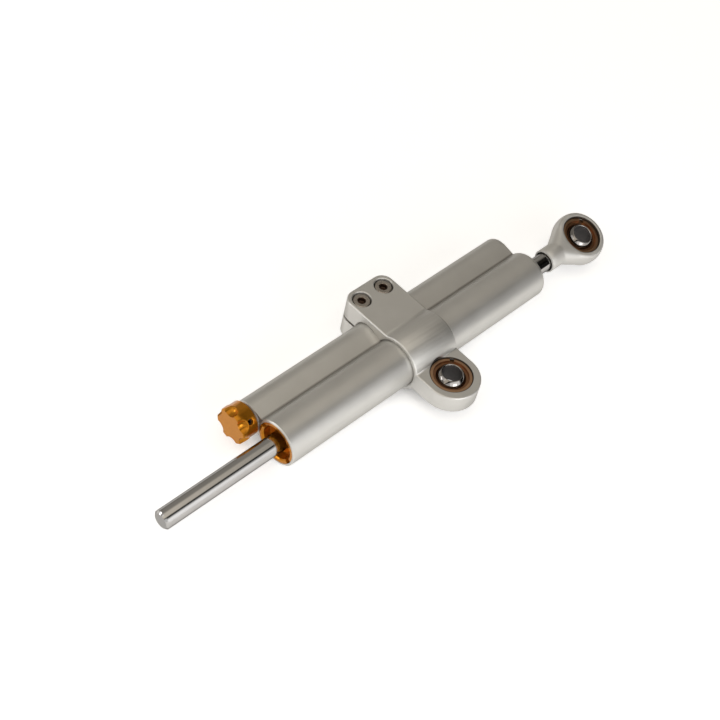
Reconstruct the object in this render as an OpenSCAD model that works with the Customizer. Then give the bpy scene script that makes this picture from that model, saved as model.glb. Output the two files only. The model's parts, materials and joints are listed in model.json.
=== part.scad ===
// Steering damper: a through-rod oil damper with a bypass tube, a clamp and two spherical bearings.
// Millimetres. The origin is the centre of the clamp's bearing.
// X runs along the barrel towards the rod end, Y runs from the bearing to the barrel and Z is up.

/* [Barrel] */
// Length of the barrel block
barrel_l = 144.5; // [140:0.5:165]
// From the clamp's bearing back to the barrel's adjuster end
barrel_back = 75.5; // [70:0.5:85]
// From the clamp's bearing across to the main tube's axis
main_y = 19.7; // [19.5:0.1:23]
// Outside diameter of the main tube
main_d = 20; // [19.6:0.1:21]
// Bore that the piston runs in
main_bore_d = 15; // [14.6:0.1:15.6]
// Outside diameter of the bypass tube
bypass_d = 12.9; // [12.6:0.1:13.6]
// Bore of the bypass tube
bypass_bore_d = 8.4; // [8.2:0.1:8.8]
// Between the axes of the two tubes
tube_pitch = 16; // [15.8:0.1:16.3]
// Fall of the web's flanks from the bypass tube to the main tube, in degrees
web_fall = 12.5; // [9:0.5:20]
// How far the web stops short of the closed end
web_inset = 1.5; // [0.5:0.1:3]
// Solid length of the main tube's closed end
main_end_wall = 22; // [20:0.5:28]
// Solid length of the bypass tube's closed end
bypass_end_wall = 5; // [4:0.5:7]
// Rounding of the main tube's closed end
main_round = 2; // [1:0.1:3]
// Rounding of the bypass tube's closed end
bypass_round = 3.2; // [2:0.1:4]
// Chamfer round both open ends
mouth_chamfer = 0.4; // [0.2:0.1:0.6]
// Diameter of the drilled oil passages between the tubes
port_d = 1.8; // [1.2:0.1:2]
// From the valve seat and from the chamber's closed end to the oil passages
port_inset = 2.5; // [1.5:0.1:4]

/* [End cap] */
// Length of the cap from its face to the oil
cap_l = 25; // [24:0.5:30]
// Diameter of the cap's thread
cap_thread_d = 18; // [17.4:0.1:18.4]
// Length of the cap's thread
cap_thread_l = 11; // [10:0.5:12]
// Diameter of the recess round the rod
cap_recess_d = 14.4; // [13:0.1:15]
// Depth of the recess
cap_recess_l = 4; // [3:0.1:6.5]
// Chamfer on the recess's edge
cap_chamfer = 0.7; // [0.3:0.1:1]
// Width of the two spanner slots in the cap's rim
spanner_w = 2.6; // [1.5:0.1:4]
// Depth of the spanner slots
spanner_l = 1.8; // [1:0.1:3]
// Angle of the spanner slots, from Y towards Z
spanner_angle = 25.5; // [0:0.5:179]

/* [Rod and piston] */
// Diameter of the rod
rod_d = 8; // [7.6:0.1:8.2]
// Length of the rod that stands out of the end cap
rod_out = 55.5; // [52:0.5:70]
// Chamfer on the rod's free tip
rod_chamfer = 0.8; // [0.3:0.1:1.2]
// Length of the rod held in the eye's neck
rod_grip = 10; // [8:0.5:11]
// Length of the piston
piston_l = 12; // [9:0.5:15]
// Travel of the rod from rest, outwards
stroke_out = 46; // [40:0.5:46]
// Width of the piston ring
piston_ring_w = 2.4; // [1.5:0.1:3]
// Depth of the piston ring's groove
piston_ring_h = 1.6; // [1:0.1:2]
// Thickness of the circlips on the rod
circlip_t = 0.8; // [0.6:0.1:1.2]
// Depth of the circlips' grooves
circlip_groove = 0.4; // [0.3:0.05:0.6]
// Radial width of a circlip
circlip_w = 1.9; // [1.2:0.1:2.2]

/* [Seals] */
// Radial width of the rod seals
seal_w = 1.6; // [1.2:0.1:1.7]
// Length of the rod seals
seal_l = 3; // [2:0.1:3.2]
// Radial width of the rod wipers
wiper_w = 2; // [1.5:0.1:2.2]
// Length of the rod wipers
wiper_l = 3; // [2:0.1:3.2]
// Wall of the rod's guide bushes
bush_wall = 1.2; // [0.8:0.1:1.5]
// Length of the guide bushes
bush_l = 4.5; // [3:0.1:5]
// Length of the land between two grooves
seal_land = 1.2; // [0.8:0.1:1.3]
// Thickness of the small O-rings
o_ring_t = 1.5; // [1:0.1:1.6]

/* [Rod end] */
// Clear rod between the barrel and the eye's neck at rest
neck_gap = 10.5; // [6:0.5:14]
// From the neck's end to the eye's centre
neck_l = 22.5; // [21:0.5:28]
// Diameter of the neck
neck_d = 10.4; // [10.2:0.1:11.4]
// Outside diameter of the eye
eye_d = 23.2; // [22.4:0.1:26]
// Thickness of the eye
eye_t = 8.6; // [8.2:0.1:11]
// Radius of the eye's crowned rim
eye_crown = 10; // [8:0.5:14]
// Roll of the eye about the rod
eye_roll = 17.2; // [-90:0.1:90]
// Length of the blend between the neck and the bearing's seat
flare_l = 5.5; // [3:0.5:7]
// How far the blend's faces lie behind the eye's flats
flare_inset = 0.6; // [0.3:0.1:1]
// Width of the bump stop's ring
bump_w = 0.55; // [0.4:0.05:0.8]
// Length of the bump stop
bump_l = 1.3; // [0.8:0.1:2]
// How far the bump stop lies behind the neck's end face
bump_inset = 0.6; // [0.1:0.1:1]

/* [Clamp] */
// Width of the clamp along the barrel
clamp_w = 23.4; // [21.8:0.1:28]
// Wall of the clamp round the main tube
clamp_wall = 2; // [1.6:0.1:3]
// Wall of the clamp above and below the bypass tube
lug_wall = 3.35; // [3:0.05:4.5]
// From the bypass tube's axis to the screws
screw_y = 10.5; // [10.3:0.1:12]
// From the screws to the lug's end
lug_edge = 5.7; // [5.2:0.1:8]
// Corner radius of the lug
lug_round = 5; // [2:0.1:5.5]
// Width of the split
split_w = 1.3; // [0.8:0.1:2]
// Between the two screws
screw_pitch = 12.3; // [10:0.1:12.6]
// Thickness of the ear
ear_t = 8.6; // [8.4:0.1:10]
// How far the middle of the ear lies below the bearing's centre
ear_drop = 0.7; // [0:0.1:0.9]
// How far the ear's round end is centred beyond the bearing
ear_out = 0.4; // [0:0.1:1.5]
// Chamfer on the clamp's outer edges
clamp_chamfer = 0.4; // [0.2:0.05:0.6]
// Chamfer round the clamp's bores
bore_chamfer = 0.5; // [0.2:0.05:0.7]
// Fillet between the ear's top and the tube boss
ear_fillet = 0.7; // [0.4:0.1:2.5]
// Fillet between the ear's underside and the tube boss
ear_fillet_low = 2.6; // [0.5:0.1:3]
// Fillet between the lug's faces and the tube boss
lug_fillet = 4; // [1:0.1:6]

/* [Clamp screws] */
// Diameter of the screws
screw_d = 4; // [3.6:0.1:4.6]
// Diameter of the screw heads
screw_head_d = 7; // [6.6:0.1:8]
// Height of the screw heads
screw_head_h = 4; // [3.6:0.1:4.8]
// Across the flats of the screw sockets
screw_socket = 3; // [2.5:0.1:3.6]
// Depth of the screw sockets
screw_socket_l = 2; // [1.5:0.1:2.6]
// Length of the screws under the head
screw_l = 12; // [10:0.5:13]
// How far the heads lie below the clamp's face
screw_inset = 0.7; // [0.2:0.1:1.2]
// Gap round a head in its counterbore
head_clear = 0.5; // [0.2:0.05:0.6]
// Gap round a screw in its clearance hole
hole_clear = 0.25; // [0.1:0.05:0.4]

/* [Bearings] */
// Bore of the bearing balls
ball_bore_d = 8; // [7:0.1:8.2]
// Width of the balls
ball_w = 9.6; // [9:0.1:9.8]
// Diameter of the balls
ball_d = 13; // [12.6:0.1:13.4]
// Outside diameter of the bearing races
race_d = 17; // [16.6:0.1:17.4]
// Width of the races
race_w = 4.4; // [4:0.1:4.6]
// Width of the shoulder under a race
shoulder_w = 0.9; // [0.6:0.1:1.1]
// Thickness of the snap rings
snap_t = 0.8; // [0.6:0.1:0.9]
// Depth of the snap rings' grooves
snap_groove = 0.7; // [0.4:0.1:0.9]
// Radial width of the snap rings
snap_w = 1.8; // [1.4:0.1:2]
// Gap between the ends of a snap ring
snap_gap = 1.8; // [1:0.1:4]
// Place of the gap round the bearing, from X towards Y
snap_angle = 42; // [0:1:359]
// Depth of the chamfer at a bearing's mouth
seat_chamfer = 0.3; // [0.2:0.1:0.7]

/* [Adjuster] */
// Diameter of the knob's fluted grip
knob_d = 15.2; // [14.8:0.1:17]
// Length of the knob's fluted grip
knob_flute_l = 3.6; // [3:0.1:5]
// Diameter of the knob's plain collar
collar_d = 14.7; // [14:0.1:16]
// Length of the knob's plain collar
collar_l = 4.2; // [4:0.1:6]
// Gap between the knob and the barrel
knob_gap = 0.7; // [0.5:0.05:0.9]
// Number of flutes
flute_count = 6; // [3:1:9]
// Diameter of the flutes
flute_d = 6.6; // [3:0.1:7]
// Depth of the flutes
flute_depth = 2; // [1:0.1:2.2]
// Angle of the flute that holds the grub screw, from Y towards Z
flute_angle = 137; // [0:0.5:359]
// Chamfer on the knob's edges
knob_chamfer = 0.4; // [0.2:0.1:0.8]
// Diameter of the grub screw
grub_d = 2.4; // [2:0.1:2.6]
// From the collar's face at the barrel to the grub screw
grub_back = 3; // [2.6:0.1:3.6]
// Length of the grub screw
grub_l = 4; // [3:0.1:4.4]
// Across the flats of the grub screw's socket
grub_socket = 1.3; // [0.9:0.1:1.4]
// Diameter of the spindle
spindle_d = 4; // [3.6:0.1:4.2]
// Wall of the knob over the spindle's end
spindle_cover = 2.2; // [1.5:0.1:3]
// Thickness of the spindle's circlip
spindle_clip_t = 0.6; // [0.5:0.05:0.8]
// Depth of the spindle circlip's groove
spindle_clip_groove = 0.35; // [0.25:0.05:0.45]
// Radial width of the spindle's circlip
spindle_clip_w = 1.2; // [0.9:0.05:1.5]
// Length of the spindle behind its circlip
spindle_end_l = 1; // [0.7:0.1:1.5]
// Diameter of the spindle's threaded tail
tail_d = 3; // [2.6:0.1:3.2]
// Length of the spindle's threaded tail
tail_l = 10; // [9:0.5:11]
// Diameter of the gland's thread
gland_thread_d = 10.4; // [10:0.1:10.8]
// Length of the gland's thread
gland_thread_l = 12; // [10:0.5:14]
// Length of the gland's plain nose
gland_nose_l = 6; // [4:0.5:8]
// Distance of the detent ball from the spindle's axis
detent_r = 3.9; // [3.6:0.1:4]
// Diameter of the detent ball
detent_ball_d = 1.6; // [1.4:0.1:1.8]
// Depth of the ball's track in the gland's face
detent_track = 0.3; // [0.2:0.05:0.4]
// Length of the detent spring
detent_spring_l = 2.4; // [2:0.1:2.6]

/* [Needle valve] */
// Between the spindle's circlip and the needle's body
needle_gap = 3.8; // [3:0.1:5]
// Length of the needle's body
needle_l = 13; // [12:0.5:16]
// Depth of the needle's bore past the spindle's tail
tail_room = 2; // [1.2:0.1:3]
// Diameter of the needle's stem
needle_stem_d = 3.2; // [3:0.1:3.4]
// Length of the needle's stem
needle_stem_l = 4; // [3:0.1:5]
// Length of the needle's taper
needle_tip_l = 5; // [4:0.1:6]
// Diameter of the needle's point
needle_point_d = 0.6; // [0.4:0.1:0.8]
// Width of the key that stops the needle turning
key_w = 1.2; // [0.8:0.1:1.6]
// Height of the key
key_h = 0.6; // [0.3:0.05:0.7]
// Length of the valve seat
seat_l = 4.5; // [3:0.1:6]
// Diameter of the hole in the seat
seat_hole_d = 2.5; // [2.4:0.05:2.8]
// How far the needle's taper reaches into the seat
seat_overlap = 3; // [2.8:0.1:3.2]

/* [Compensator] */
// Length of the compensator piston
comp_l = 6; // [5:0.5:8]
// Length of the compensator spring at rest
comp_spring_l = 9; // [8:0.5:10]
// Wire of the compensator spring
comp_wire_d = 0.9; // [0.7:0.05:1]
// Room between the compensator spring and its bore
comp_room = 0.35; // [0.2:0.05:0.6]
// Turns of the compensator spring
comp_turns = 4; // [3:0.5:5]

/* [Fits] */
// Radial running clearance
run = 0.05; // [0.02:0.01:0.08]
// Radial clearance of pieces that are screwed or pressed together
seat = 0.03; // [0.01:0.01:0.05]
// End play of pieces that run against a flat face
end_play = 0.15; // [0.1:0.05:0.3]
// Radial room round a rod where nothing guides it
rod_room = 0.4; // [0.3:0.05:0.5]
// Axial room of a ring in its groove
groove_room = 0.1; // [0.05:0.05:0.2]
// Room round the needle's key
key_room = 0.1; // [0.05:0.05:0.2]
// Clear length left at the ends of the rod's travel
stop_gap = 0.5; // [0.3:0.1:1]

/* [Hidden] */
$fn = 64;
// Overlap of a cut past the face that it opens
cut = 1;
// How far a blend starts below the surface that it leaves
blend_sink = 0.1;
// How far the web's flanks lie below the bypass tube's tangents
web_sink = 0.01;

// Barrel
x_near = -barrel_back;
x_far = x_near + barrel_l;
bypass_y = main_y + tube_pitch;
main_r = main_d / 2;
main_bore_r = main_bore_d / 2;
bypass_r = bypass_d / 2;
bore_r = bypass_bore_d / 2;
chamber_near = x_near + cap_l;
chamber_far = x_far - main_end_wall;
bore_end = x_far - bypass_end_wall;

// Rod, piston and rod end
rod_r = rod_d / 2;
x_tip = x_near - rod_out;
x_neck = x_far + neck_gap;
x_eye = x_neck + neck_l;
rod_hole_r = rod_r + rod_room;
circlip_room = end_play + groove_room + circlip_t;
piston_near = chamber_far - stop_gap - circlip_room - stroke_out - piston_l;
piston_far = piston_near + piston_l;
circlip_in_r = rod_r - circlip_groove;
neck_bore_l = rod_grip + stop_gap;
neck_r = neck_d / 2;

// Seals
seal_r = rod_r + seal_w;
wiper_r = rod_r + wiper_w;
bush_r = rod_r + bush_wall;
cap_wiper_x = x_near + cap_recess_l + seal_land;
cap_o_ring_x = x_near + cap_thread_l + seal_land;
cap_seal_x = cap_o_ring_x + o_ring_t + groove_room + seal_land;
far_wiper_x = x_far - stop_gap - wiper_l;
far_seal_x = chamber_far + bush_l + seal_land;

// Clamp
clamp_r = main_r + clamp_wall;
lug_z = bypass_r + lug_wall;
screws_y = bypass_y + screw_y;
lug_y = screws_y + lug_edge;
ear_r = clamp_w / 2;
head_seat_z = lug_z - screw_inset - screw_head_h;

// Bearings
race_r = race_d / 2;
ball_r = ball_d / 2;
snap_out_r = race_r + snap_groove - seat;
snap_in_r = snap_out_r - snap_w;
shoulder_r = race_r - shoulder_w;
x_flare = x_eye - race_r - flare_l;

// Adjuster
x_knob = x_near - knob_gap;
knob_l = collar_l + knob_flute_l;
x_knob_end = x_knob - knob_l;
knob_r = knob_d / 2;
collar_r = collar_d / 2;
spindle_r = spindle_d / 2;
x_gland_nose = x_near + gland_thread_l;
x_gland_end = x_gland_nose + gland_nose_l;
x_spindle = x_knob_end + spindle_cover;
x_spindle_clip = x_gland_end + end_play;
x_tail = x_spindle_clip + spindle_clip_t + spindle_end_l;
grub_x = x_knob - grub_back;
grub_out_r = spindle_r + grub_l;
detent_r_ball = detent_ball_d / 2;
detent_x = x_near - detent_r_ball + detent_track - run;
detent_hole_end = detent_x - detent_r_ball - detent_spring_l;

// Needle valve
x_needle = x_spindle_clip + spindle_clip_t + needle_gap;
x_needle_stem = x_needle + needle_l;
x_needle_tip = x_needle_stem + needle_stem_l;
x_seat = x_needle_tip + needle_tip_l - seat_overlap;
needle_r = bore_r - run;
tail_bore_l = tail_room + x_tail + tail_l - x_needle;
port_near = x_seat - port_inset;
port_far = chamber_far - port_inset;

// Compensator
x_comp_spring = bore_end - comp_spring_l;
x_comp = x_comp_spring - comp_l;
comp_coil_r = bore_r - comp_room - comp_wire_d / 2;

// Places

// Puts a piece drawn along the X axis on the main tube's axis
module on_main() {
    translate([0, main_y, 0]) children();
}

// Puts a piece drawn along the X axis on the bypass tube's axis
module on_bypass() {
    translate([0, bypass_y, 0]) children();
}

// Puts a bearing drawn at the origin in the rolled eye
module in_eye() {
    translate([x_eye, main_y, 0]) rotate([eye_roll, 0, 0]) children();
}

// Turned shapes along X

// A solid turned from an outline of [radius, x] points
module turned(outline) {
    rotate([0, 90, 0]) rotate_extrude() polygon(outline);
}

// A plain ring along X
module ring(inner, outer, x, l) {
    turned([[inner, x], [outer, x], [outer, x + l], [inner, x + l]]);
}

// A plain bar along X
module bar(r, x, l) {
    translate([x, 0, 0]) rotate([0, 90, 0]) cylinder(r = r, h = l);
}

// A ring of round section along X
module o_ring(inner, x, t) {
    rotate([0, 90, 0]) rotate_extrude() translate([inner + t / 2, x + t / 2]) circle(d = t);
}

// A bar along X with a chamfered start and a rounded end
module round_bar(r, x, l, chamfer, round) {
    translate([x, 0, 0]) rotate([0, 90, 0]) rotate_extrude() {
        polygon([[0, 0], [r - chamfer, 0], [r, chamfer], [r, l - round], [0, l - round]]);
        square([r - round, l]);
        translate([r - round, l - round]) circle(round);
    }
}

// A circlip along X, open at the top
module circlip(inner, w, x, t) {
    difference() {
        ring(inner + seat, inner + w, x, t);
        translate([x - cut, -inner * 0.6, 0]) cube([t + 2 * cut, inner * 1.2, inner + w + cut]);
    }
}

// Springs

// Points round the wire of a coil along X
function coil_ring(r, wire, pitch, a, sides) = [
    for (k = [0 : sides - 1])
        let (b = 360 * k / sides, d = r + wire / 2 * cos(b))
            [wire / 2 * sin(b) + pitch * a / 360, d * cos(a), d * sin(a)]
];

// A coil of round wire along X, l long over the wire
module coil(r, wire, turns, l, steps = 16, sides = 8) {
    pitch = (l - wire) / turns;
    count = turns * steps;
    points = [for (i = [0 : count]) each coil_ring(r, wire, pitch, 360 * i / steps, sides)];
    start = [[for (k = [0 : sides - 1]) k]];
    end = [[for (k = [sides - 1 : -1 : 0]) count * sides + k]];
    wall = [
        for (i = [0 : count - 1], k = [0 : sides - 1])
            let (a = i * sides + k, b = i * sides + (k + 1) % sides)
                each [[a, a + sides, b], [b, a + sides, b + sides]]
    ];
    translate([wire / 2, 0, 0]) polyhedron(points, concat(start, end, wall));
}

// Barrel

// One extrusion with both tubes, bored from the adjuster end and solid at the other
module twin_barrel() {
    color("#b4afa6") difference() {
        union() {
            on_main() round_bar(main_r, x_near, barrel_l, mouth_chamfer, main_round);
            on_bypass() round_bar(bypass_r, x_near, barrel_l, mouth_chamfer, bypass_round);
            web(0, x_near + mouth_chamfer, barrel_l - mouth_chamfer - web_inset);
        }
        on_main() main_cut();
        on_bypass() bypass_cut();
        for (x = [port_near, port_far])
            translate([x, main_y + main_bore_r - cut, 0]) rotate([-90, 0, 0])
                cylinder(d = port_d, h = tube_pitch - main_bore_r - bore_r + 2 * cut);
    }
}

// Section of the web between the tubes in Y and Z, with its flanks a gap outside the bypass tube's tangents
module web_outline(gap) {
    r = bypass_r + gap - web_sink;
    y_in = main_y + main_bore_r;
    y_out = bypass_y - r * sin(web_fall);
    z_out = r * cos(web_fall);
    z_in = z_out - (y_out - y_in) * tan(web_fall);
    polygon([[y_in, -z_in], [y_out, -z_out], [y_out, z_out], [y_in, z_in]]);
}

// A length of the web along X
module web(gap, x, l) {
    translate([x, 0, 0]) rotate([90, 0, 90]) linear_extrude(l) web_outline(gap);
}

// The main tube's thread, piston bore and rod passage
module main_cut() {
    bar(cap_thread_d / 2, x_near - cut, cap_thread_l + cut);
    bar(main_bore_r, x_near, chamber_far - x_near);
    bar(rod_hole_r, x_near, barrel_l + cut);
    bar(bush_r, chamber_far - cut, bush_l + cut);
    bar(seal_r, far_seal_x, seal_l + groove_room);
    bar(wiper_r, far_wiper_x, x_far - far_wiper_x + cut);
}

// The bypass tube's thread, bore and keyway
module bypass_cut() {
    bar(gland_thread_d / 2, x_near - cut, gland_thread_l + cut);
    bar(bore_r, x_near, bore_end - x_near);
    translate([x_gland_end, -key_w / 2 - key_room, -bore_r - key_h - key_room])
        cube([x_needle_stem + tail_room - x_gland_end, key_w + 2 * key_room, bore_r]);
}

// End cap

// Gold cap with a deep recess round the rod, spanner slots and grooves for its seals
module end_cap() {
    thread_r = cap_thread_d / 2 - seat;
    nose_r = main_bore_r - seat;
    recess_r = cap_recess_d / 2;
    thread_end = x_near + cap_thread_l;
    color("#b4732d") on_main() difference() {
        turned([
            [0, x_near], [thread_r, x_near], [thread_r, thread_end],
            [nose_r, thread_end], [nose_r, chamber_near], [0, chamber_near]
        ]);
        bar(rod_hole_r, x_near - cut, cap_l + 2 * cut);
        turned([
            [0, x_near - cut], [recess_r + cap_chamfer, x_near - cut], [recess_r + cap_chamfer, x_near],
            [recess_r, x_near + cap_chamfer], [recess_r, x_near + cap_recess_l], [0, x_near + cap_recess_l]
        ]);
        bar(wiper_r, cap_wiper_x, wiper_l + groove_room);
        bar(seal_r, cap_seal_x, seal_l + groove_room);
        bar(bush_r, chamber_near - bush_l, bush_l + cut);
        ring(main_bore_r - o_ring_t, main_bore_r + cut, cap_o_ring_x, o_ring_t + groove_room);
        rotate([spanner_angle, 0, 0]) translate([x_near - cut, -main_r, -spanner_w / 2])
            cube([spanner_l + cut, main_d, spanner_w]);
    }
}

// Rubber ring on the cap's nose
module cap_o_ring() {
    color("#1c1c1c") on_main()
        o_ring(main_bore_r - o_ring_t + seat, cap_o_ring_x + seat, o_ring_t - 2 * seat);
}

// Wiper lip behind the cap's recess
module cap_wiper() {
    color("#1c1c1c") on_main() ring(rod_r + run, wiper_r - seat, cap_wiper_x + groove_room / 2, wiper_l);
}

// Oil seal in the cap
module cap_rod_seal() {
    color("#1c1c1c") on_main() ring(rod_r + run, seal_r - seat, cap_seal_x + groove_room / 2, seal_l);
}

// Bronze bush that guides the rod in the cap
module cap_guide_bush() {
    color("#8c6a3f") on_main() ring(rod_r + run, bush_r - seat, chamber_near - bush_l, bush_l);
}

// Closed end of the main tube

// Bronze bush that guides the rod in the closed end
module far_guide_bush() {
    color("#8c6a3f") on_main() ring(rod_r + run, bush_r - seat, chamber_far, bush_l);
}

// Oil seal in the closed end
module far_rod_seal() {
    color("#1c1c1c") on_main() ring(rod_r + run, seal_r - seat, far_seal_x + groove_room / 2, seal_l);
}

// Wiper pressed into the closed end's face
module far_wiper() {
    color("#1c1c1c") on_main() ring(rod_r + run, wiper_r - seat, far_wiper_x, wiper_l);
}

// Rod and piston

// Hard-chromed through rod with two circlip grooves
module piston_rod() {
    x_end = x_neck + rod_grip;
    groove_l = circlip_t + groove_room;
    color("#c9c9c9") on_main() difference() {
        turned([
            [0, x_tip], [rod_r - rod_chamfer, x_tip], [rod_r, x_tip + rod_chamfer],
            [rod_r, x_end], [0, x_end]
        ]);
        ring(circlip_in_r, rod_d, piston_near - end_play - groove_l, groove_l);
        ring(circlip_in_r, rod_d, piston_far + end_play, groove_l);
    }
}

// Piston, free to turn on the rod between its circlips
module piston() {
    piston_r = main_bore_r - 2 * run;
    groove_x = piston_near + (piston_l - piston_ring_w) / 2;
    color("#a8a49c") on_main() difference() {
        ring(rod_r + run, piston_r, piston_near, piston_l);
        ring(main_bore_r - piston_ring_h, main_bore_r + cut, groove_x, piston_ring_w);
    }
}

// Slippery ring round the piston
module piston_ring() {
    x = piston_near + (piston_l - piston_ring_w + groove_room) / 2;
    color("#6b4a32") on_main()
        ring(main_bore_r - piston_ring_h + seat, main_bore_r - run, x, piston_ring_w - groove_room);
}

// The two circlips that hold the piston on the rod
module piston_circlips() {
    gap = end_play + groove_room / 2;
    color("#3a3a3a") on_main() {
        circlip(circlip_in_r, circlip_w, piston_near - gap - circlip_t, circlip_t);
        circlip(circlip_in_r, circlip_w, piston_far + gap, circlip_t);
    }
}

// Bearings

// Cuts a bearing's seat through a wall that reaches top above and bottom below its centre
module bearing_seat(top, bottom) {
    low = -race_w / 2;
    rotate_extrude() polygon([
        [0, -bottom - cut], [shoulder_r, -bottom - cut], [shoulder_r, low], [race_r, low],
        [race_r, race_w / 2],
        [race_r + snap_groove, race_w / 2], [race_r + snap_groove, race_w / 2 + snap_t + groove_room],
        [race_r, race_w / 2 + snap_t + groove_room], [race_r, top - seat_chamfer],
        [race_r + seat_chamfer, top], [race_r + seat_chamfer, top + cut], [0, top + cut]
    ]);
}

// Bronze outer race with a spherical bore
module bearing_race() {
    rotate_extrude() difference() {
        translate([0, -race_w / 2]) square([race_r - seat, race_w]);
        circle(ball_r + run);
    }
}

// Polished ball with flat ends and a bore
module bearing_ball() {
    rotate_extrude() intersection() {
        circle(ball_r);
        translate([ball_bore_d / 2, -ball_w / 2]) square([ball_r, ball_w]);
    }
}

// Snap ring above a race
module snap_ring() {
    translate([0, 0, race_w / 2 + groove_room / 2]) difference() {
        cylinder(r = snap_out_r, h = snap_t);
        translate([0, 0, -cut]) cylinder(r = snap_in_r, h = snap_t + 2 * cut);
        rotate([0, 0, snap_angle]) translate([0, -snap_gap / 2, -cut])
            cube([race_d, snap_gap, snap_t + 2 * cut]);
    }
}

// Rod end

// Eye with a crowned rim, flared into the neck that takes the rod
module rod_end_housing() {
    color("#c4c0b8") difference() {
        union() {
            in_eye() rotate_extrude() eye_outline(eye_t, eye_d);
            in_eye() flare();
            on_main() turned([
                [0, x_neck], [neck_r - mouth_chamfer, x_neck], [neck_r, x_neck + mouth_chamfer],
                [neck_r, x_flare], [0, x_flare]
            ]);
        }
        on_main() bar(rod_r + seat, x_neck - cut, neck_bore_l + cut);
        on_main() bar(rod_r + bump_w + seat, x_neck - cut, bump_inset + bump_l + cut);
        in_eye() bearing_seat(eye_t / 2, eye_t / 2);
    }
}

// Half section of the eye, t thick and d across, with its crowned rim and broken edges
module eye_outline(t, d) {
    z = t / 2;
    face_r = d / 2 - eye_crown + sqrt(eye_crown * eye_crown - z * z) - clamp_chamfer;
    intersection() {
        polygon([[0, -z], [face_r, -z], [face_r + z, 0], [face_r, z], [0, z]]);
        translate([d / 2 - eye_crown, 0]) circle(eye_crown);
    }
}

// The smooth blend from the neck's round end into the eye, drawn about the eye's centre
module flare() {
    start = x_flare - x_eye;
    hull() {
        bar(neck_r - seat, start - flare_inset, flare_inset);
        rotate_extrude($fn = 64) eye_outline(eye_t - 2 * flare_inset, eye_d - 2 * blend_sink, $fn = 48);
    }
}

// Rubber ring in the neck's end
module bump_stop() {
    color("#202020") on_main() ring(rod_r + seat, rod_r + bump_w, x_neck + bump_inset, bump_l);
}

// Bearing race in the eye
module rod_end_race() {
    color("#7a5238") in_eye() bearing_race();
}

// Bearing ball in the eye
module rod_end_ball() {
    color("#55504a") in_eye() bearing_ball();
}

// Snap ring in the eye
module rod_end_snap_ring() {
    color("#6a4428") in_eye() snap_ring();
}

// Clamp

// The corner between a face at height z and the tube boss, filled to a radius, drawn about the boss
module boss_fillet_outline(z, r) {
    y = sqrt(pow(clamp_r + r, 2) - pow(z + r, 2));
    k = clamp_r / (clamp_r + r);
    difference() {
        polygon([[y, z], [0, 0], [y * k, (z + r) * k]]);
        translate([y, z + r]) circle(r);
    }
}

// A fillet along the clamp between its broken edges
module boss_fillet(z, r) {
    translate([clamp_chamfer - clamp_w / 2, 0, 0]) rotate([90, 0, 90])
        linear_extrude(clamp_w - 2 * clamp_chamfer) boss_fillet_outline(z, r);
}

// Split clamp with the ear, both tube bores, the split and the screw holes
module clamp_body() {
    color("#bdb8b0") difference() {
        union() {
            on_main() clamp_boss();
            lug();
            ear();
        }
        on_main() clamp_bore(main_r + run);
        on_bypass() clamp_bore(bypass_r + run);
        web(run, -clamp_w, 2 * clamp_w);
        translate([-clamp_w, bypass_y, -split_w / 2]) cube([2 * clamp_w, lug_y, split_w]);
        bearing_seat(ear_t / 2 - ear_drop, ear_t / 2 + ear_drop);
        for (x = [-screw_pitch / 2, screw_pitch / 2])
            translate([x, screws_y, 0]) screw_cut();
    }
}

// The round wall over the main tube
module clamp_boss() {
    end = clamp_w / 2;
    c = clamp_chamfer;
    turned([
        [0, -end], [clamp_r - c, -end], [clamp_r, c - end],
        [clamp_r, end - c], [clamp_r - c, end], [0, end]
    ]);
}

// A bore through the clamp, chamfered at both faces
module clamp_bore(r) {
    end = clamp_w / 2;
    c = bore_chamfer;
    turned([
        [0, -end - cut], [r + c, -end - cut], [r + c, -end], [r, c - end],
        [r, end - c], [r + c, end], [r + c, end + cut], [0, end + cut]
    ]);
}

// The flat block over the bypass tube and the screws, with round corners
module lug() {
    long = lug_y - main_y;
    translate([0, main_y, 0]) rotate([-90, 0, 0])
        linear_extrude(long - lug_round) chamfered(clamp_w, 2 * lug_z, clamp_chamfer);
    translate([lug_round - clamp_w / 2, main_y + long / 2, 0]) rotate([90, 0, 90])
        linear_extrude(clamp_w - 2 * lug_round) chamfered(long, 2 * lug_z, clamp_chamfer);
    for (x = [-1, 1])
        translate([x * (clamp_w / 2 - lug_round), lug_y - lug_round, 0])
            disc(lug_round, 2 * lug_z, clamp_chamfer);
    on_main() for (s = [0, 1])
        mirror([0, 0, s]) boss_fillet(lug_z, lug_fillet);
}

// The tongue with the bearing, filleted into the boss
module ear() {
    translate([0, -ear_out, -ear_drop]) {
        disc(ear_r, ear_t, clamp_chamfer);
        rotate([-90, 0, 0]) linear_extrude(main_y + ear_out) chamfered(2 * ear_r, ear_t, clamp_chamfer);
    }
    on_main() mirror([0, 1, 0]) {
        boss_fillet(ear_t / 2 - ear_drop, ear_fillet);
        mirror([0, 0, 1]) boss_fillet(ear_t / 2 + ear_drop, ear_fillet_low);
    }
}

// A w by h outline with chamfered corners
module chamfered(w, h, c) {
    x = w / 2;
    y = h / 2;
    polygon([
        [c - x, -y], [x - c, -y], [x, c - y], [x, y - c],
        [x - c, y], [c - x, y], [-x, y - c], [-x, c - y]
    ]);
}

// A disc about Z with chamfered edges
module disc(r, h, c) {
    z = h / 2;
    rotate_extrude() polygon([[0, -z], [r - c, -z], [r, c - z], [r, z - c], [r - c, z], [0, z]]);
}

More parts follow.
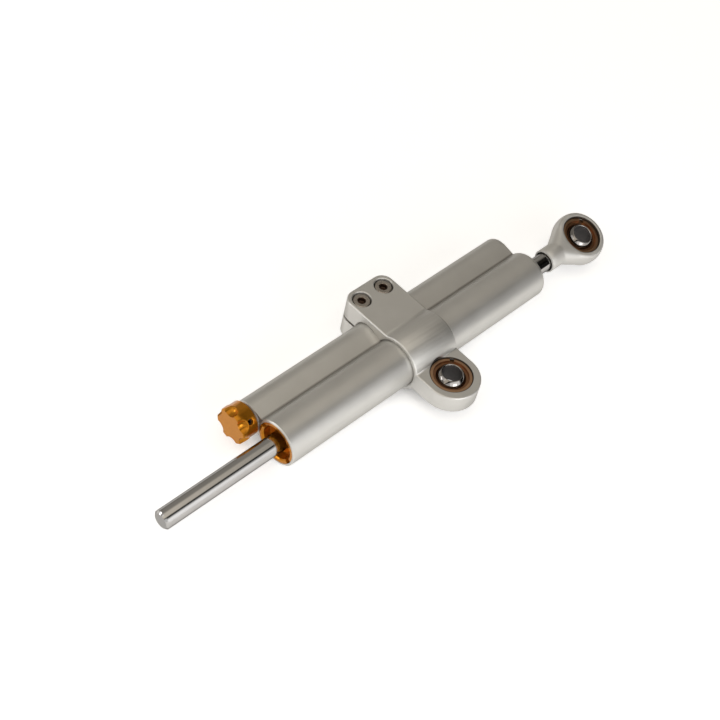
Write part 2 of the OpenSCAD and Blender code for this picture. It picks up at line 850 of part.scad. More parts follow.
// The counterbore, clearance hole and tapped hole of one clamp screw
module screw_cut() {
    head_r = screw_head_d / 2 + head_clear;
    c = clamp_chamfer / 2;
    rotate_extrude() polygon([
        [0, head_seat_z], [head_r, head_seat_z], [head_r, lug_z - c], [head_r + c, lug_z],
        [head_r + c, lug_z + cut], [0, lug_z + cut]
    ]);
    cylinder(d = screw_d + 2 * hole_clear, h = lug_z);
    translate([0, 0, -lug_z - cut]) cylinder(d = screw_d + 2 * seat, h = lug_z + 2 * cut);
}

// The two socket-head screws across the split
module clamp_screws() {
    color("#8d857b") for (x = [-screw_pitch / 2, screw_pitch / 2])
        translate([x, screws_y, head_seat_z]) difference() {
            union() {
                cylinder(d = screw_head_d, h = screw_head_h);
                translate([0, 0, -screw_l]) cylinder(d = screw_d, h = screw_l + cut);
            }
            translate([0, 0, screw_head_h - screw_socket_l])
                cylinder(d = screw_socket / cos(30), h = screw_socket_l + cut, $fn = 6);
        }
}

// Bearing race in the ear
module clamp_bearing_race() {
    color("#7a5238") bearing_race();
}

// Bearing ball in the ear
module clamp_bearing_ball() {
    color("#55504a") bearing_ball();
}

// Snap ring in the ear
module clamp_snap_ring() {
    color("#6a4428") snap_ring();
}

// Adjuster

// Gold knob with a plain collar, a fluted grip, the grub screw's hole and the detent's pocket
module adjuster_knob() {
    c = knob_chamfer;
    x_collar = x_knob - collar_l;
    color("#b4732d") on_bypass() difference() {
        turned([
            [0, x_knob_end], [knob_r - c, x_knob_end], [knob_r, x_knob_end + c], [knob_r, x_collar],
            [collar_r, x_collar], [collar_r, x_knob - c], [collar_r - c, x_knob], [0, x_knob]
        ]);
        for (i = [0 : flute_count - 1])
            rotate([flute_angle + 360 * i / flute_count, 0, 0]) flute_cut();
        bar(spindle_r + seat, x_spindle, x_knob - x_spindle + cut);
        rotate([flute_angle, 0, 0]) translate([grub_x, 0, 0]) rotate([-90, 0, 0])
            cylinder(d = grub_d + 2 * seat, h = knob_d);
        rotate([flute_angle + 180, 0, 0]) translate([0, detent_r, 0])
            bar(detent_r_ball + run, detent_hole_end, x_knob - detent_hole_end + cut);
    }
}

// One flute, drawn on the Y side, with a round run-out at the collar
module flute_cut() {
    r = flute_d / 2;
    translate([0, knob_r + r - flute_depth, 0]) {
        bar(r, x_knob_end - r, knob_flute_l);
        translate([x_knob_end + knob_flute_l - r, 0, 0]) sphere(r);
    }
}

// Set screw that holds the knob on the spindle
module knob_grub_screw() {
    color("#2b2b2b") on_bypass() rotate([flute_angle, 0, 0]) translate([grub_x, 0, 0]) rotate([-90, 0, 0])
        difference() {
            translate([0, 0, spindle_r]) cylinder(d = grub_d, h = grub_l);
            translate([0, 0, grub_out_r - grub_l / 2])
                cylinder(d = grub_socket / cos(30), h = grub_l, $fn = 6);
        }
}

// Spindle with a flat for the grub screw, an O-ring groove, a circlip groove and a threaded tail
module adjuster_spindle() {
    color("#9a958c") on_bypass() difference() {
        turned([
            [0, x_spindle], [spindle_r, x_spindle], [spindle_r, x_tail],
            [tail_d / 2, x_tail], [tail_d / 2, x_tail + tail_l], [0, x_tail + tail_l]
        ]);
        ring(spindle_r - o_ring_t / 2, spindle_d, x_gland_nose, o_ring_t / 2 + groove_room);
        ring(spindle_r - spindle_clip_groove, spindle_d, x_spindle_clip, spindle_clip_t + groove_room);
    }
}

// Rubber ring on the spindle
module spindle_o_ring() {
    t = o_ring_t / 2;
    color("#1c1c1c") on_bypass() o_ring(spindle_r - t + seat, x_gland_nose + seat, t - seat);
}

// Circlip that keeps the spindle in the gland
module spindle_circlip() {
    x = x_spindle_clip + groove_room / 2;
    color("#3a3a3a") on_bypass()
        circlip(spindle_r - spindle_clip_groove, spindle_clip_w, x, spindle_clip_t);
}

// Screwed plug that carries the spindle, with the detent ball's track in its face
module adjuster_gland() {
    thread_r = gland_thread_d / 2 - seat;
    nose_r = bore_r - seat;
    color("#a59f95") on_bypass() difference() {
        turned([
            [spindle_r + run, x_near], [thread_r, x_near], [thread_r, x_gland_nose],
            [nose_r, x_gland_nose], [nose_r, x_gland_end], [spindle_r + run, x_gland_end]
        ]);
        ring(bore_r - o_ring_t + seat, bore_r + cut, x_gland_nose + seal_land, o_ring_t + groove_room);
        rotate([0, 90, 0]) rotate_extrude() translate([detent_r, detent_x]) circle(detent_r_ball + run);
    }
}

// Rubber ring on the gland's nose
module gland_o_ring() {
    color("#1c1c1c") on_bypass()
        o_ring(bore_r - o_ring_t + 2 * seat, x_gland_nose + seal_land + seat, o_ring_t - 3 * seat);
}

// Steel ball that gives the knob its clicks
module detent_ball() {
    color("#9a9a9a") on_bypass() rotate([flute_angle + 180, 0, 0])
        translate([detent_x, detent_r, 0]) sphere(detent_r_ball);
}

// Spring behind the detent ball
module detent_spring() {
    wire = detent_ball_d / 6;
    color("#8a8a8a") on_bypass() rotate([flute_angle + 180, 0, 0])
        translate([detent_hole_end, detent_r, 0])
            coil(detent_r_ball - wire, wire, 3, detent_spring_l, 12, 6);
}

// Needle valve

// Needle with a keyed body, moved along by the spindle's thread
module needle_valve() {
    stem_r = needle_stem_d / 2;
    color("#b08d57") on_bypass() difference() {
        union() {
            turned([
                [0, x_needle], [needle_r, x_needle], [needle_r, x_needle_stem], [stem_r, x_needle_stem],
                [stem_r, x_needle_tip], [needle_point_d / 2, x_needle_tip + needle_tip_l],
                [0, x_needle_tip + needle_tip_l]
            ]);
            translate([x_needle + 1, -key_w / 2, -bore_r - key_h])
                cube([needle_l - 2, key_w, key_h + run + cut]);
        }
        bar(tail_d / 2 + run, x_needle - cut, tail_bore_l + cut);
    }
}

// Pressed-in seat with a coned mouth
module valve_seat() {
    hole_r = seat_hole_d / 2;
    color("#9c7b48") on_bypass() turned([
        [hole_r + 1, x_seat], [bore_r - seat, x_seat], [bore_r - seat, x_seat + seat_l],
        [hole_r, x_seat + seat_l], [hole_r, x_seat + 1]
    ]);
}

// Compensator

// Floating piston between the oil and its spring
module compensator_piston() {
    groove_x = x_comp + (comp_l - o_ring_t) / 2;
    color("#a8a49c") on_bypass() difference() {
        bar(bore_r - run, x_comp, comp_l);
        ring(bore_r - o_ring_t, bore_r + cut, groove_x, o_ring_t + groove_room);
    }
}

// Rubber ring on the floating piston
module compensator_o_ring() {
    x = x_comp + (comp_l - o_ring_t + groove_room) / 2;
    color("#1c1c1c") on_bypass() o_ring(bore_r - o_ring_t + seat, x, o_ring_t - seat - run);
}

// Spring behind the floating piston
module compensator_spring() {
    color("#8a8a8a") on_bypass() translate([x_comp_spring, 0, 0])
        coil(comp_coil_r, comp_wire_d, comp_turns, comp_spring_l);
}

twin_barrel();
end_cap();
cap_o_ring();
cap_wiper();
cap_rod_seal();
cap_guide_bush();
far_guide_bush();
far_rod_seal();
far_wiper();
piston_rod();
piston();
piston_ring();
piston_circlips();
rod_end_housing();
bump_stop();
rod_end_race();
rod_end_ball();
rod_end_snap_ring();
clamp_body();
clamp_screws();
clamp_bearing_race();
clamp_bearing_ball();
clamp_snap_ring();
adjuster_knob();
knob_grub_screw();
adjuster_spindle();
spindle_o_ring();
spindle_circlip();
adjuster_gland();
gland_o_ring();
detent_ball();
detent_spring();
needle_valve();
valve_seat();
compensator_piston();
compensator_o_ring();
compensator_spring();
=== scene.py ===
import bpy
import json
import math
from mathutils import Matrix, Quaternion, Vector


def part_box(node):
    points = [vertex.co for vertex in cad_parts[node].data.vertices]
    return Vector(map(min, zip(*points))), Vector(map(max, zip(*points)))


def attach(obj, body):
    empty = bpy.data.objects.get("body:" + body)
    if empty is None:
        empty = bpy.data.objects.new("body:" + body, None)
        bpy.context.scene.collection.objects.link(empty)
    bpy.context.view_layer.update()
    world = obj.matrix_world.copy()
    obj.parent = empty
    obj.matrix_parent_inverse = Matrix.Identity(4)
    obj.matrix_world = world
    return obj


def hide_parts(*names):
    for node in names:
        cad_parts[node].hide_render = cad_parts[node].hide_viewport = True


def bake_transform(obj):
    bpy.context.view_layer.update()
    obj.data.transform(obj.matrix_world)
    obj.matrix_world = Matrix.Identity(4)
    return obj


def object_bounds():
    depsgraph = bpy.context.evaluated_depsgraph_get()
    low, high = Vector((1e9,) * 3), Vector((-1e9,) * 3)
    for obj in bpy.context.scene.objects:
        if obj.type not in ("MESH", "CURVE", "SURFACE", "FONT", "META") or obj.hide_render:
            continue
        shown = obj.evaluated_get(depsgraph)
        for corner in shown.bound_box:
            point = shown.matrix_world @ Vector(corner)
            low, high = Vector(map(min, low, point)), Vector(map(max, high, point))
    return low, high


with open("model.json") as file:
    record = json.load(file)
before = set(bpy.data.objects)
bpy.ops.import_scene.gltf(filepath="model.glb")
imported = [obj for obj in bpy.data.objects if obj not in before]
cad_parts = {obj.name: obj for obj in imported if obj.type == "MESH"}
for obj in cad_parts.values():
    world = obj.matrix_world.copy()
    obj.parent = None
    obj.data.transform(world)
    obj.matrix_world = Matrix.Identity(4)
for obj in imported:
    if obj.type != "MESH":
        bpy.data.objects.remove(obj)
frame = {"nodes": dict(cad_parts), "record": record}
nodes = frame["nodes"]
cad_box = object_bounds()
mm = 0.001

# Twin barrel
# One aluminium block with the main tube and the thinner bypass tube side by side, machined all over,
# bead-blasted to a satin finish and clear anodised. Every other piece is fitted in it or on it.


class Socket:
    """One output of a shader node. Arithmetic on values adds Math nodes, and node() adds any other."""

    def __init__(self, tree, link):
        self.tree = tree
        self.link = link

    def node(self, kind, settings=None, inputs=None, out=0):
        made = self.tree.nodes.new("ShaderNode" + kind)
        for name, value in (settings or {}).items():
            if name == "stops":
                ramp = made.color_ramp.elements
                while len(ramp) < len(value):
                    ramp.new(1)
                for element, (position, colour) in zip(ramp, value):
                    element.position = position
                    element.color = colour
            else:
                setattr(made, name, value)
        for name, value in (inputs or {}).items():
            if isinstance(value, Socket):
                self.tree.links.new(value.link, made.inputs[name])
            else:
                made.inputs[name].default_value = value
        return Socket(self.tree, made.outputs[out]) if len(made.outputs) else None

    def math(self, operation, first, second):
        return self.node("Math", {"operation": operation}, {0: first, 1: second})

    def __add__(self, other):
        return self.math("ADD", self, other)

    def __radd__(self, other):
        return self.math("ADD", other, self)

    def __sub__(self, other):
        return self.math("SUBTRACT", self, other)

    def __rsub__(self, other):
        return self.math("SUBTRACT", other, self)

    def __mul__(self, other):
        return self.math("MULTIPLY", self, other)

    def __rmul__(self, other):
        return self.math("MULTIPLY", other, self)

    def __truediv__(self, other):
        return self.math("DIVIDE", self, other)

    def __pow__(self, other):
        return self.math("POWER", self, other)


def finish(name, sockets):
    """A material whose shader's inputs are worked out by sockets(place) from the point on the piece."""
    made = bpy.data.materials.new(name)
    made.use_nodes = True
    tree = made.node_tree
    tree.nodes.clear()
    place = Socket(tree, tree.nodes.new("ShaderNodeTexCoord").outputs["Object"])
    shader = place.node("BsdfPrincipled", inputs=sockets(place))
    place.node("OutputMaterial", inputs={"Surface": shader})
    return made


def noise(place, size, detail=2.0):
    """Noise from 0 to 1 with lumps of about that size in metres."""
    return place.node("TexNoise", inputs={"Vector": place, "Scale": 1 / size, "Detail": detail})


def between(place, mask, low, high):
    """The colour that goes from low to high with the mask."""
    return place.node("Mix", {"data_type": "RGBA"}, {0: mask, 6: low, 7: high}, 2)


def bump(place, height, depth, rounding=0.0):
    """A normal from a height of 0 to 1, that many metres deep, over edges rounded to a radius."""
    inputs = {"Distance": depth, "Height": height}
    if rounding:
        inputs["Normal"] = place.node("Bevel", {"samples": 8}, {"Radius": rounding})
    return place.node("Bump", inputs=inputs)


def dress(material, *names):
    """Gives CAD nodes a finish."""
    for name in names:
        nodes[name].material_slots[0].material = material


same_point = 0.001 * mm
same_plane = math.radians(0.2)
sharp_edge = math.radians(25)


def soften(name, width):
    """Breaks a CAD node's sharp edges, as deburring does."""
    weld = nodes[name].modifiers.new("weld", "WELD")
    weld.merge_threshold = same_point
    flat = nodes[name].modifiers.new("flat", "DECIMATE")
    flat.decimate_type = "DISSOLVE"
    flat.angle_limit = same_plane
    edge = nodes[name].modifiers.new("edge", "BEVEL")
    edge.width = width
    edge.segments = 2
    edge.limit_method = "ANGLE"
    edge.angle_limit = sharp_edge
    edge.harden_normals = True
    edge.use_clamp_overlap = True


def off_line(place, line):
    """How far a point is from a line, given by a point and a direction, and how far along it."""
    middle, way = line
    centred = place.node("VectorMath", {"operation": "SUBTRACT"}, {0: place, 1: middle})
    dot = {"operation": "DOT_PRODUCT"}
    axial = centred.node("VectorMath", dot, {0: centred, 1: way}, "Value")
    square = centred.node("VectorMath", dot, {0: centred, 1: centred}, "Value")
    return axial.math("MAXIMUM", square - axial * axial, 0.0) ** 0.5, axial


def fade(value, start, end, at_start, at_end):
    """Goes from one value to another while the input goes from start to end."""
    return value.node(
        "MapRange",
        inputs={
            "Value": value,
            "From Min": start,
            "From Max": end,
            "To Min": at_start,
            "To Max": at_end,
        },
    )


def satin_silver(grit, metal, painted_shade, rounding=0.0):
    """The blasted finish, darkened towards near black by painted shade where the mask from the third
    argument is high.
    """
    def sockets(place):
        pits = noise(place, 0.16 * mm)
        clouds = noise(place, 9 * mm, 4.0)
        bare_silver = between(place, clouds, (0.60, 0.59, 0.565, 1), (0.68, 0.67, 0.645, 1))
        return {
            # Painted shade: the mask blends the silver towards near black.
            "Base Color": between(place, painted_shade(place), bare_silver, (0.05, 0.038, 0.03, 1)),
            "Metallic": metal,
            # The grey specular tint dims grazing reflections at the outlines: painted shade.
            "Specular Tint": (0.35, 0.34, 0.33, 1),
            "Roughness": grit + 0.08 * clouds + 0.06 * pits,
            "Normal": bump(place, pits, 0.012 * mm, rounding),
        }
    return sockets


seam_y = 28.38 * mm
seam_z = 4.97 * mm
seam_dark = 0.1 * mm
seam_unshaded = 0.9 * mm


def seam_painted_shade(place):
    """Painted shade along the crease between the tubes, on both sides."""
    y, z = (place.node("SeparateXYZ", inputs={0: place}, out=i) for i in (1, 2))
    off_y = y - seam_y
    off_z = z.math("ABSOLUTE", z, 0.0) - seam_z
    away = (off_y * off_y + off_z * off_z) ** 0.5
    return fade(away, seam_dark, seam_unshaded, 0.6, 0.0)


# The barrel's silver carries painted shade in the crease between the tubes.
dress(finish("barrel_silver", satin_silver(0.36, 0.86, seam_painted_shade)), "twin_barrel")

# End cap with its seals and bushes
# Turned aluminium, dyed gold and anodised bright, screwed into the main tube with a pin spanner. It
# carries the near guide bush, rod seal and wiper; the same three sit in the tube's closed end.


def turned_marks(place, line, pitch):
    """Fine rings about a line, in radius and along it together."""
    radius, axial = off_line(place, line)
    return place.node(
        "TexNoise",
        {"noise_dimensions": "1D"},
        {"W": radius + axial, "Scale": 1 / pitch, "Detail": 2.0},
    )


def middle_of(name):
    """The middle of a CAD node's box."""
    low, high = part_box(name)
    return tuple((a + b) / 2 for a, b in zip(low, high))


rod_line = (middle_of("piston_rod"), (1, 0, 0))
knob_line = (middle_of("adjuster_knob"), (1, 0, 0))


def bright_gold(line):
    """The gold dye on a piece turned about a line."""
    def sockets(place):
        rings = turned_marks(place, line, 0.12 * mm)
        clouds = noise(place, 5 * mm, 3.0)
        return {
            "Base Color": between(place, clouds, (0.46, 0.17, 0.010, 1), (0.56, 0.22, 0.015, 1)),
            "Metallic": 0.66,
            "Specular IOR Level": 0.15,
            "Roughness": 0.13 + 0.06 * clouds + 0.05 * rings,
            "Normal": bump(place, rings, 0.004 * mm),
        }
    return sockets


def rubber(place):
    grain = noise(place, 0.25 * mm)
    clouds = noise(place, 4 * mm, 3.0)
    return {
        "Base Color": between(place, clouds, (0.012, 0.012, 0.012, 1), (0.03, 0.029, 0.028, 1)),
        "Roughness": 0.5 + 0.2 * clouds,
        "Normal": bump(place, grain, 0.02 * mm),
    }


def bronze_about(line, low, high):
    """Bronze or browned steel turned about a line, between two colours."""
    def sockets(place):
        rings = turned_marks(place, line, 0.15 * mm)
        clouds = noise(place, 3 * mm, 4.0)
        return {
            "Base Color": between(place, clouds, low, high),
            "Metallic": 1.0,
            "Roughness": 0.24 + 0.1 * clouds + 0.08 * rings,
            "Normal": bump(place, rings, 0.006 * mm),
        }
    return sockets


black_rubber = finish("black_rubber", rubber)
dress(finish("gold_cap", bright_gold(rod_line)), "end_cap")
dress(black_rubber, "cap_o_ring", "cap_wiper", "cap_rod_seal", "far_rod_seal", "far_wiper")
bush_bronze = bronze_about(rod_line, (0.20, 0.105, 0.055, 1), (0.34, 0.19, 0.10, 1))
dress(finish("bush_bronze", bush_bronze), "cap_guide_bush", "far_guide_bush")
soften("end_cap", 0.15 * mm)

# Rod and piston
# A steel rod, ground and hard-chromed, runs through both ends of the main tube. The aluminium piston
# sits on it between two circlips and is sealed by a split ring.


def hard_chrome(place):
    rings = turned_marks(place, rod_line, 0.06 * mm)
    clouds = noise(place, 6 * mm, 3.0)
    return {
        "Base Color": between(place, clouds, (0.44, 0.43, 0.42, 1), (0.51, 0.50, 0.49, 1)),
        "Metallic": 1.0,
        # The grey specular tint dims grazing reflections at the outlines: painted shade.
        "Specular Tint": (0.20, 0.20, 0.20, 1),
        "Roughness": 0.07 + 0.03 * clouds + 0.03 * rings,
        "Normal": bump(place, rings, 0.0008 * mm),
    }


def turned_aluminium(place):
    rings = turned_marks(place, rod_line, 0.2 * mm)
    clouds = noise(place, 4 * mm, 3.0)
    return {
        "Base Color": between(place, clouds, (0.55, 0.545, 0.53, 1), (0.66, 0.65, 0.63, 1)),
        "Metallic": 1.0,
        "Roughness": 0.25 + 0.1 * rings,
        "Normal": bump(place, rings, 0.008 * mm),
    }


def filled_plastic(place):
    specks = noise(place, 0.3 * mm, 3.0)
    return {
        "Base Color": between(place, specks, (0.10, 0.06, 0.035, 1), (0.24, 0.15, 0.09, 1)),
        "Roughness": 0.45 + 0.2 * specks,
        "Normal": bump(place, specks, 0.01 * mm),
    }


def blackened_steel(place):
    clouds = noise(place, 1.5 * mm, 4.0)
    return {
        "Base Color": between(place, clouds, (0.018, 0.017, 0.017, 1), (0.05, 0.046, 0.044, 1)),
        "Metallic": 0.6,
        "Roughness": 0.32 + 0.2 * clouds,
        "Normal": bump(place, clouds, 0.01 * mm),
    }


aluminium = finish("turned_aluminium", turned_aluminium)
black_steel = finish("blackened_steel", blackened_steel)
dress(finish("hard_chrome", hard_chrome), "piston_rod")
dress(aluminium, "piston")
dress(finish("filled_plastic", filled_plastic), "piston_ring")
dress(black_steel, "piston_circlips")

# Adjuster
# A gold knob with six flutes is pinned to its spindle by a grub screw. The spindle turns in a screwed
# gland with a ball detent, and its thread moves the brass needle in its seat.


def plain_steel(place):
    clouds = noise(place, 2 * mm, 4.0)
    grain = noise(place, 0.2 * mm)
    return {
        "Base Color": between(place, clouds, (0.30, 0.28, 0.26, 1), (0.46, 0.44, 0.415, 1)),
        "Metallic": 1.0,
        "Roughness": 0.26 + 0.14 * clouds,
        "Normal": bump(place, grain, 0.008 * mm),
    }


def turned_brass(place):
    rings = turned_marks(place, knob_line, 0.15 * mm)
    clouds = noise(place, 3 * mm, 3.0)
    return {
        "Base Color": between(place, clouds, (0.50, 0.33, 0.13, 1), (0.62, 0.45, 0.20, 1)),
        "Metallic": 1.0,
        "Roughness": 0.22 + 0.1 * rings,
        "Normal": bump(place, rings, 0.006 * mm),
    }


steel = finish("plain_steel", plain_steel)
dress(finish("gold_knob", bright_gold(knob_line)), "adjuster_knob")
dress(black_steel, "knob_grub_screw", "spindle_circlip")
dress(steel, "adjuster_spindle", "detent_spring", "detent_ball")
dress(black_rubber, "spindle_o_ring", "gland_o_ring")
dress(aluminium, "adjuster_gland")
dress(finish("turned_brass", turned_brass), "needle_valve", "valve_seat")
soften("adjuster_knob", 0.15 * mm)

# Compensator
# A small aluminium piston with an O-ring, backed by a steel coil spring, closes the bypass bore's far
# end and gives way when the oil warms up and grows.
dress(aluminium, "compensator_piston")
dress(black_rubber, "compensator_o_ring")


def add(name, data):
    """A new object in the scene."""
    made = bpy.data.objects.new(name, data)
    bpy.context.scene.collection.objects.link(made)
    return made


spring_mesh = nodes["compensator_spring"].data.copy()
spring_mesh.materials.clear()
spring_mesh.materials.append(steel)
spring = add("compensator_coil", spring_mesh)
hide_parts("compensator_spring")
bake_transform(spring)

# Clamp
# A split aluminium clamp, milled, bead-blasted and anodised with the barrel, holds both tubes. Two
# socket-head screws close the split, and the ear carries a plain spherical bearing.
def mount_line(name):
    """The middle and the direction of a mount's bore."""
    mount = next(m for m in frame["record"]["mounts"] if m["name"] == name)
    return tuple(mount["pos_m"]), tuple(mount["axis"])


clamp_line = mount_line("clamp_bearing_bore")
# The seat's wall is painted dark inside these radii, as shade in the recess.
seat_dark_r = 8.75 * mm
seat_unshaded_r = 9.0 * mm


def seat_painted_shade(line):
    """Painted shade on the wall of a bearing's seat, round a line."""
    def mask(place):
        radius = off_line(place, line)[0]
        return fade(radius, seat_dark_r, seat_unshaded_r, 1.0, 0.0)
    return mask


clamp_silver = satin_silver(0.36, 0.82, seat_painted_shade(clamp_line), 0.4 * mm)
dress(finish("clamp_silver", clamp_silver), "clamp_body")
soften("clamp_body", 0.2 * mm)

screw_r = 3.5 * mm
socket_r = 1.8 * mm
screw_low, screw_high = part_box("clamp_screws")


def turned_screws(place):
    """Plain steel, with painted shade in the screws' sockets."""
    x, y = (place.node("SeparateXYZ", inputs={0: place}, out=i) for i in range(2))
    out = x.math("ABSOLUTE", x, 0.0) - (screw_high[0] - screw_r)
    side = y - (screw_low[1] + screw_high[1]) / 2
    socket_shade = x.math("LESS_THAN", out * out + side * side, socket_r ** 2)
    clouds = noise(place, 1.2 * mm, 4.0)
    plain = between(place, clouds, (0.36, 0.325, 0.29, 1), (0.54, 0.49, 0.44, 1))
    return {
        # Painted shade: the sockets are coloured dark brown.
        "Base Color": between(place, socket_shade, plain, (0.11, 0.07, 0.05, 1)),
        "Metallic": 1.0,
        "Roughness": 0.22 + 0.12 * clouds + 0.2 * socket_shade,
        "Normal": bump(place, clouds, 0.02 * mm, 0.35 * mm),
    }


dress(finish("screw_steel", turned_screws), "clamp_screws")
soften("clamp_screws", 0.3 * mm)

ball_r = 6.5 * mm
ball_bore_r = 4 * mm
ball_half = 4.8 * mm
lip_r = 0.35 * mm
end_step = 0.05 * mm
lip_steps = 10
bow_steps = 40
ball_steps = 128


def polished_ball(place):
    smears = noise(place, 2.5 * mm, 3.0)
    return {
        "Base Color": between(place, smears, (0.26, 0.245, 0.235, 1), (0.34, 0.32, 0.305, 1)),
        "Metallic": 1.0,
        "Roughness": 0.06 + 0.06 * smears,
        "Normal": bump(place, smears, 0.004 * mm),
    }


# Painted shade: the ball's bore is coloured near black for the shade inside it.
def bore_painted_shade(place):
    smears = noise(place, 1.5 * mm, 3.0)
    return {
        "Base Color": between(place, smears, (0.06, 0.055, 0.054, 1), (0.11, 0.10, 0.098, 1)),
        "Metallic": 0.5,
        "Roughness": 0.48 + 0.15 * smears,
        "Normal": bump(place, smears, 0.01 * mm),
    }


ball_steel = finish("polished_steel", polished_ball)
bore_shade_steel = finish("bore_shade_steel", bore_painted_shade)


def bearing_ball(name, line, body, node):
    """A ball with a rounded lip at both ends of its bore, turned about a line."""
    top = ball_half - lip_r
    corner = [
        (ball_bore_r + lip_r * (1 - math.cos(a)), top + lip_r * math.sin(a))
        for a in (math.radians(90 * i / lip_steps) for i in range(lip_steps + 1))
    ]
    edge = math.acos((ball_half - end_step) / ball_r)
    bow = [
        (ball_r * math.sin(a), ball_r * math.cos(a))
        for a in (edge + (math.pi - 2 * edge) * i / bow_steps for i in range(bow_steps + 1))
    ]
    outline = corner + bow + [(r, -z) for r, z in reversed(corner)]
    centre, way = (Vector(v) for v in line)
    tilt = Vector((0, 0, 1)).rotation_difference(way)
    count = len(outline)
    turns = [2 * math.pi * i / ball_steps for i in range(ball_steps)]
    points = [
        centre + tilt @ Vector((r * math.cos(t), r * math.sin(t), z))
        for t in turns for r, z in outline
    ]
    faces = [
        (i * count + k, j * count + k, j * count + (k + 1) % count, i * count + (k + 1) % count)
        for i in range(ball_steps) for j in ((i + 1) % ball_steps,) for k in range(count)
    ]
    mesh = bpy.data.meshes.new(name)
    mesh.from_pydata(points, [], faces)
    mesh.materials.append(ball_steel)
    mesh.materials.append(bore_shade_steel)
    for face in mesh.polygons:
        face.use_smooth = True
        # The faces of the bore take the painted shade.
        if face.index % count == count - 1:
            face.material_index = 1
    made = add(name, mesh)
    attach(made, body)
    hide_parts(node)


bearing_ball("clamp_ball_polished", clamp_line, "clamp_ball", "clamp_bearing_ball")
# The races' bronze brown is kept darker than the snap rings' as painted shade for their deeper place.
race_brown = ((0.20, 0.10, 0.055, 1), (0.34, 0.18, 0.095, 1))
ring_brown = ((0.42, 0.25, 0.15, 1), (0.58, 0.36, 0.22, 1))
dress(finish("clamp_race_bronze", bronze_about(clamp_line, *race_brown)), "clamp_bearing_race")
dress(finish("clamp_ring_steel", bronze_about(clamp_line, *ring_brown)), "clamp_snap_ring")

# Rod end
# The eye is screwed on the rod and holds the same bearing as the clamp. A rubber ring in the neck's
# end cushions the end of the stroke.
eye_line = mount_line("rod_end_bore")
eye_silver = satin_silver(0.42, 0.62, seat_painted_shade(eye_line), 1.6 * mm)
dress(finish("eye_silver", eye_silver), "rod_end_housing")
dress(black_rubber, "bump_stop")
dress(finish("eye_race_bronze", bronze_about(eye_line, *race_brown)), "rod_end_race")
dress(finish("eye_ring_steel", bronze_about(eye_line, *ring_brown)), "rod_end_snap_ring")
bearing_ball("eye_ball_polished", eye_line, "rod_end_ball", "rod_end_ball")
soften("rod_end_housing", 0.2 * mm)

# Set
# A white table under the part, a wide soft light and a smaller lamp at the ear's side, the same pair
# beyond the near end at the bypass tube's side, and a dim warm room above. The camera stands over the
# near end.
floor_z = cad_box[0][2]
half = 10
floor_corners = ((-half, -half), (half, -half), (half, half), (-half, half))
floor_mesh = bpy.data.meshes.new("table")
floor_mesh.from_pydata([(x, y, floor_z) for x, y in floor_corners], [], [(0, 1, 2, 3)])
floor = add("table", floor_mesh)

paper = bpy.data.materials.new("white_paper")
paper.use_nodes = True
paper.node_tree.nodes.clear()
light_path = paper.node_tree.nodes.new("ShaderNodeLightPath")
camera_ray, glossy_ray, passing_ray = (
    Socket(paper.node_tree, light_path.outputs[name])
    for name in ("Is Camera Ray", "Is Glossy Ray", "Is Transmission Ray")
)
shade_reach = 30 * mm
floor_glow = 0.55
seen = camera_ray.math("MINIMUM", camera_ray + glossy_ray + passing_ray, 1.0)
matt = seen.node("BsdfDiffuse", inputs={"Color": (0.8, 0.8, 0.8, 1)})
# The table's glow is dimmed where the part hangs close over it: a painted contact shadow.
open_sky = seen.node("AmbientOcclusion", {"samples": 16}, {"Distance": shade_reach}, "AO")
clear = fade(open_sky, 0.08, 0.34, 0.0, 1.0)
strength = seen * clear * floor_glow
glow = seen.node("Emission", inputs={"Color": (1, 1, 1, 1), "Strength": strength})
both = seen.node("AddShader", inputs={0: matt, 1: glow})
seen.node("OutputMaterial", inputs={"Surface": both})
floor_mesh.materials.append(paper)

room = bpy.data.worlds.new("room")
bpy.context.scene.world = room
room.use_nodes = True
room.node_tree.nodes.clear()
room_place = room.node_tree.nodes.new("ShaderNodeTexCoord")
towards = Socket(room.node_tree, room_place.outputs["Generated"])
along, across, upward = (
    towards.node("SeparateXYZ", inputs={0: towards}, out=i) for i in range(3)
)
turn = upward.math("ARCTAN2", upward, 0 - across) / math.pi
sky = towards.node(
    "ValToRGB",
    {
        "stops": [
            (0.00, (0.52, 0.52, 0.52, 1)),
            (0.245, (0.54, 0.54, 0.535, 1)),
            (0.272, (0.01, 0.01, 0.01, 1)),
            (0.33, (0.01, 0.01, 0.01, 1)),
            (0.37, (0.62, 0.575, 0.50, 1)),
            (0.57, (0.62, 0.575, 0.50, 1)),
            (0.66, (0.35, 0.33, 0.295, 1)),
            (1.00, (0.33, 0.31, 0.28, 1)),
        ]
    },
    {"Fac": turn},
)
fall = towards.node(
    "ValToRGB",
    {
        "stops": [
            (0.00, (0.9, 0.9, 0.9, 1)),
            (0.50, (0.95, 0.95, 0.95, 1)),
            (0.63, (1.0, 1.0, 1.0, 1)),
            (0.68, (0.90, 0.90, 0.90, 1)),
            (0.72, (0.60, 0.60, 0.60, 1)),
            (0.76, (0.15, 0.15, 0.15, 1)),
            (0.80, (0.01, 0.01, 0.01, 1)),
        ]
    },
    {"Fac": along * 0.5 + 0.5},
)
back_from = 0.56
back_to = 0.70
back_gain = 1.85
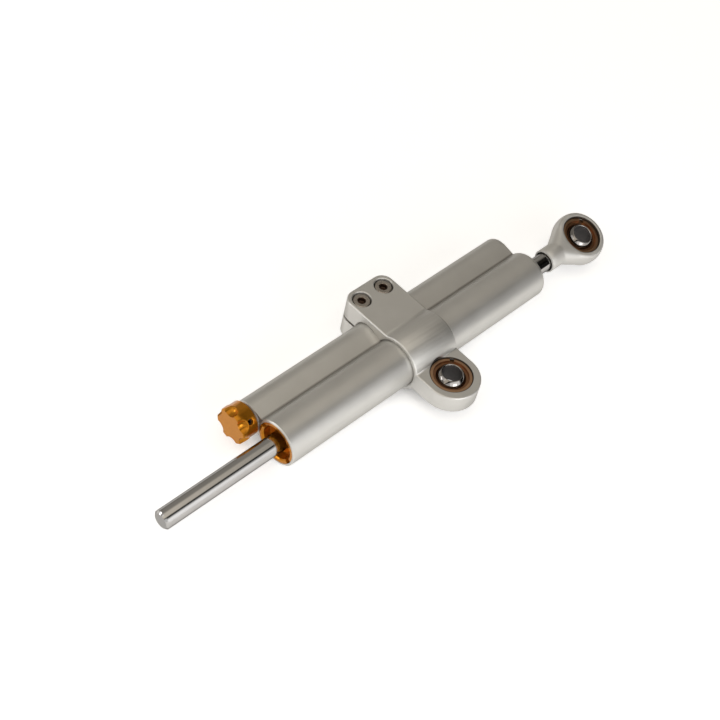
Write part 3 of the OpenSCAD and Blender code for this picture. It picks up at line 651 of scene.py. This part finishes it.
back_side = fade(turn, back_from, back_to, back_gain, 0.0)
one_way = towards.node("VectorMath", {"operation": "SCALE"}, {0: fall, "Scale": back_side})
even = fade(turn, back_from, back_to, 0.0, 1.0)
share = towards.node("VectorMath", {"operation": "ADD"}, {0: one_way, 1: even})
light = towards.node("VectorMath", {"operation": "MULTIPLY"}, {0: sky, 1: share})
background = towards.node("Background", inputs={"Color": light, "Strength": 1.0})
towards.node("OutputWorld", inputs={"Surface": background})

look_at = Vector((-21.76, 29.07, 0)) * mm


def direction(azimuth, elevation):
    """The way from the part to something at these angles, in degrees."""
    a, e = math.radians(azimuth), math.radians(elevation)
    return Vector((math.cos(e) * math.cos(a), math.cos(e) * math.sin(a), math.sin(e)))


def softbox(name, azimuth, elevation, width, height, distance, radiance):
    """A rectangular soft light that faces the part, with its size in metres."""
    lamp = bpy.data.lights.new(name, "AREA")
    lamp.shape = "RECTANGLE"
    lamp.size = width
    lamp.size_y = height
    lamp.energy = radiance * math.pi * width * height
    made = add(name, lamp)
    away = direction(azimuth, elevation)
    made.location = look_at + away * distance
    made.rotation_mode = "QUATERNION"
    made.rotation_quaternion = away.to_track_quat("Z", "Y")
    made.visible_camera = False


softbox("side_softbox", -99, 18, 0.38, 0.18, 0.30, 0.85)
softbox("back_softbox", 152, 33, 0.40, 0.26, 0.55, 0.7)
softbox("side_lamp", -102, 12, 0.22, 0.18, 0.54, 3.0)
softbox("back_lamp", 141, 14, 0.22, 0.16, 0.54, 3.2)

camera_azimuth = -145.23
camera_elevation = 50.05
camera_roll = 14.23
camera_distance = 0.62404
back = direction(camera_azimuth, camera_elevation)
roll = Quaternion((0, 0, 1), math.radians(camera_roll))
camera_data = bpy.data.cameras.new("camera")
camera_data.lens = 79.24
camera_data.sensor_width = 36
camera = add("camera", camera_data)
camera.location = look_at + back * camera_distance
camera.rotation_mode = "QUATERNION"
camera.rotation_quaternion = back.to_track_quat("Z", "Y") @ roll
bpy.context.scene.camera = camera
bpy.context.scene.view_settings.view_transform = "Standard"
